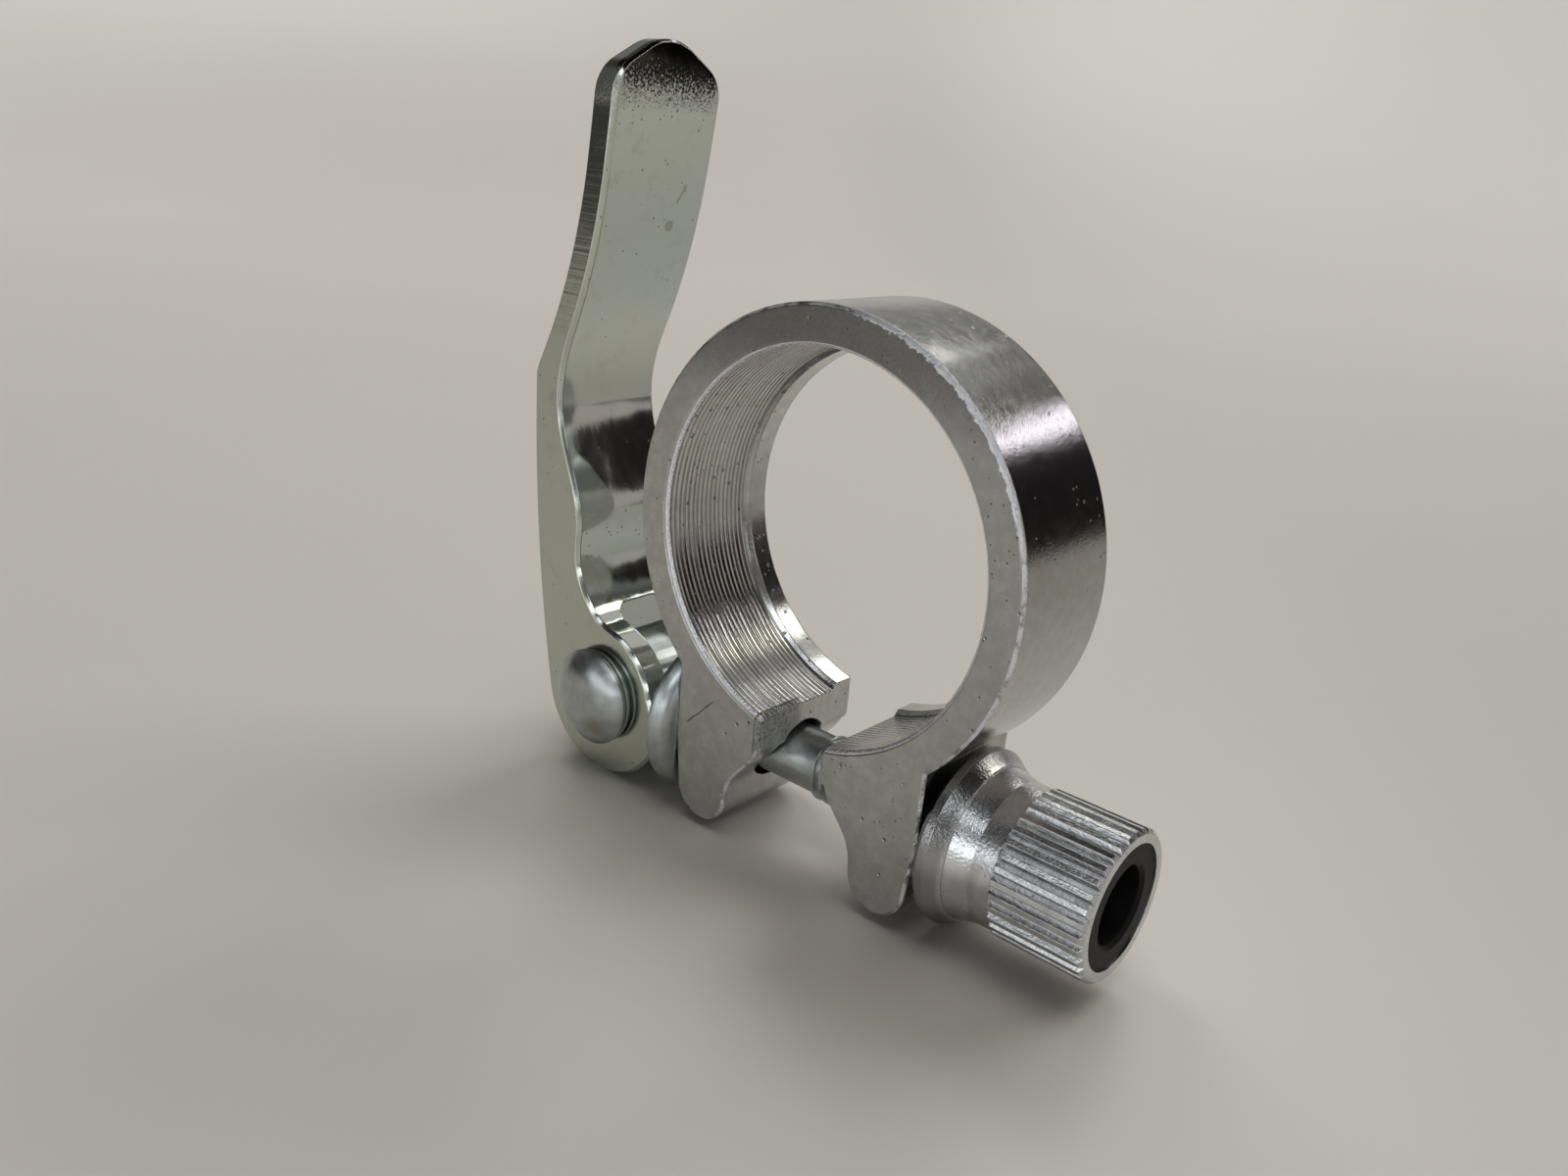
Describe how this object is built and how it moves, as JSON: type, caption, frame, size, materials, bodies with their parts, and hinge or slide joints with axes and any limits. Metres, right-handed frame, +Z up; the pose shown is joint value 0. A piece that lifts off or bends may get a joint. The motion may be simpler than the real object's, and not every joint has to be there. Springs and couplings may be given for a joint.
{
  "type": "quick-release seatpost clamp",
  "caption": "Split bicycle seat collar closed by a forked cam lever, an eye bolt and a knurled adjusting nut, clamping a seat tube onto its seatpost.",
  "frame": {"origin": "centre of the seat tube bore, halfway across the collar's width", "axes": "Y along the bore with the stop lip at +Y, X along the bolt from the lever to the nut, Z up from the bolt to the bore"},
  "size_m": [0.0619, 0.0162, 0.0653],
  "materials": {
    "collar_aluminium": "turned and tumbled, satin end faces",
    "nut_aluminium": "turned, bright",
    "zinc_plate": "blue-white zinc plate",
    "bright_plate": "bright plate over a tumbled forging",
    "black_plastic": "satin black"
  },
  "bodies": {
    "collar": {"clamp_collar": "collar_aluminium", "cam_washer": "zinc_plate"},
    "nut": {"adjusting_nut": "nut_aluminium", "nut_insert": "black_plastic"},
    "bolt": {"eye_bolt": "zinc_plate"},
    "lever": {"quick_release_lever": "bright_plate", "pivot_rivet": "zinc_plate"}
  },
  "joints": [
    {"name": "nut_turn", "type": "hinge", "parent": "collar", "child": "nut", "pos_m": [0, 0, -0.02069], "axis": [1, 0, 0], "range_deg": [0, 1440]},
    {"name": "bolt_slide", "type": "slide", "parent": "collar", "child": "bolt", "axis": [-1, 0, 0], "range_m": [0, 0.004]},
    {"name": "lever_swing", "type": "hinge", "parent": "bolt", "child": "lever", "pos_m": [-0.02355, 0, -0.02069], "axis": [0, -1, 0], "range_deg": [0, 150]}
  ],
  "couplings": [
    {"joint": "nut_turn", "follows": "bolt_slide", "rad_per_m": 6283.2}
  ]
}
